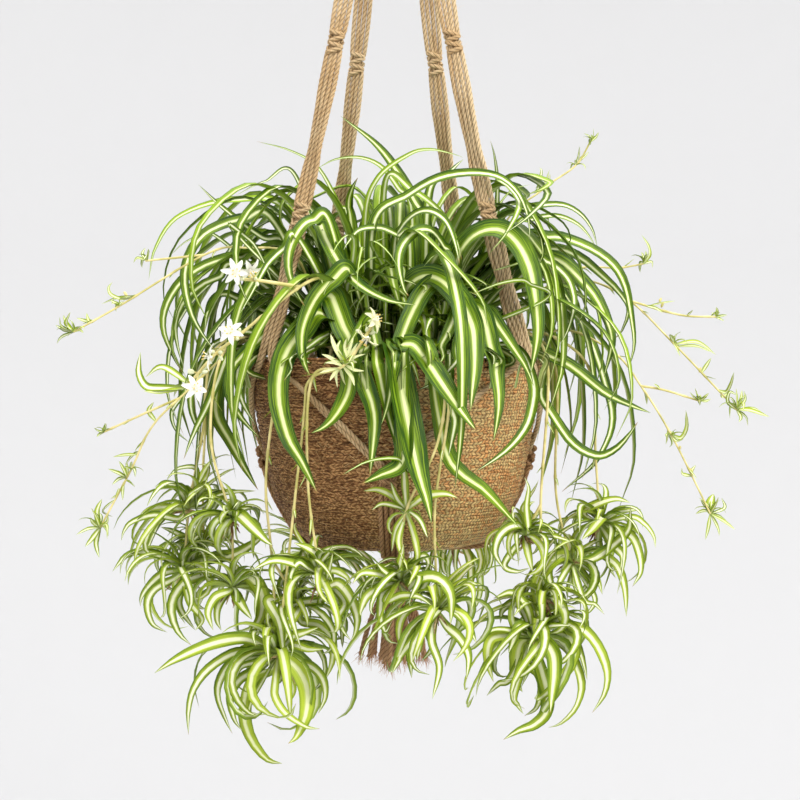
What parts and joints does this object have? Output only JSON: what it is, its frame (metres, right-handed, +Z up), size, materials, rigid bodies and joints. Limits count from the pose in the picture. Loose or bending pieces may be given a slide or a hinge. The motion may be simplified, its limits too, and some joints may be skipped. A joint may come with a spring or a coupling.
{
  "type": "potted spider plant in a hanging basket",
  "caption": "Variegated spider plant with trailing plantlets and small white flowers, in a woven basket held by a knotted cord hanger with a tassel.",
  "frame": {"origin": "the point inside the top of the hanging ring where a hook bears", "axes": "+Z up, the front towards -Y, +X to the right seen from the front"},
  "size_m": [0.5726, 0.3616, 0.8911],
  "materials": {
    "ring_metal": "zinc-plated welded steel ring, slightly dulled",
    "jute_cord": "twisted natural jute, dry and slightly hairy",
    "woven_fibre": "fine braid of plant fibre sewn in rows, mottled light and dark brown, frayed",
    "liner_plastic": "thin black nursery plastic",
    "potting_soil": "dark crumbly potting soil",
    "striped_leaf": "green leaf with a cream stripe along its middle, softly glossy",
    "plantlet_leaf": "young yellow-green leaf with a pale middle, softly glossy",
    "runner_stem": "smooth straw-yellow stem with small pale green plantlets",
    "flower_petal": "thin white petals with yellow anthers"
  },
  "bodies": {
    "root": {"hanging_ring": "ring_metal", "top_wrap": "jute_cord", "arm_front_left": "jute_cord", "arm_front_right": "jute_cord", "arm_back_left": "jute_cord", "arm_back_right": "jute_cord", "net_front": "jute_cord", "net_right": "jute_cord", "net_back": "jute_cord", "net_left": "jute_cord", "base_wrap": "jute_cord", "tassel": "jute_cord", "basket": "woven_fibre", "liner_pot": "liner_plastic", "soil": "potting_soil", "leaf_tuft": "striped_leaf", "trailing_left": "plantlet_leaf", "trailing_front": "plantlet_leaf", "trailing_centre": "plantlet_leaf", "trailing_right": "plantlet_leaf", "trailing_back": "plantlet_leaf", "runner_left_upper": "runner_stem", "runner_left_flowering": "runner_stem", "runner_left_lower": "runner_stem", "runner_right_upper": "runner_stem", "runner_right_lower": "runner_stem", "runner_top_right": "runner_stem", "runner_right_small": "runner_stem", "flower_upper_outer": "flower_petal", "flower_upper_inner": "flower_petal", "flower_middle": "flower_petal", "flower_lower": "flower_petal", "flower_tip": "flower_petal", "flower_front_upper": "flower_petal", "flower_front_lower": "flower_petal"}
  },
  "joints": []
}
